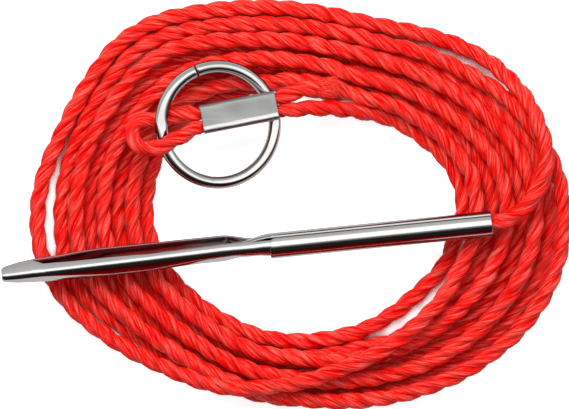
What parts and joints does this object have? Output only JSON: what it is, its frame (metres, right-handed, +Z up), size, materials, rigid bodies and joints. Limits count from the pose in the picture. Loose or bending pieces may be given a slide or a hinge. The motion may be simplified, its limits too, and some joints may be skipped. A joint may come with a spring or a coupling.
{
  "type": "fish stringer",
  "caption": "Laid rope in an oval hank, a rolled sheet needle crimped on one end and a loose ring held in a crimped rope eye at the other.",
  "frame": {"origin": "centre of the hank's footprint, on the flat that it rests on", "axes": "+Z up, square to the rest face; +X along the hank's length, from the needle's tip to its mouth; +Y from the needle towards the ring"},
  "size_m": [0.1125, 0.0804, 0.0168],
  "materials": {
    "needle_nickel": "bright nickel plate on stamped sheet steel",
    "ring_nickel": "polished nickel plate on steel wire",
    "sleeve_nickel": "dull plated sheet, lightly brushed",
    "rope_red": "three-strand laid synthetic rope, slightly glossy"
  },
  "bodies": {
    "stringer": {"rope_coil": "rope_red", "rope_lead": "rope_red", "rope_standing": "rope_red", "rope_eye": "rope_red", "rope_tail": "rope_red", "sleeve": "sleeve_nickel", "needle": "needle_nickel"},
    "ring": {"ring": "ring_nickel"}
  },
  "joints": [
    {"name": "ring_turn", "type": "hinge", "parent": "stringer", "child": "ring", "pos_m": [-0.016, 0.0158, 0.0096], "axis": [0.2079, 0, 0.9781], "continuous": true}
  ]
}
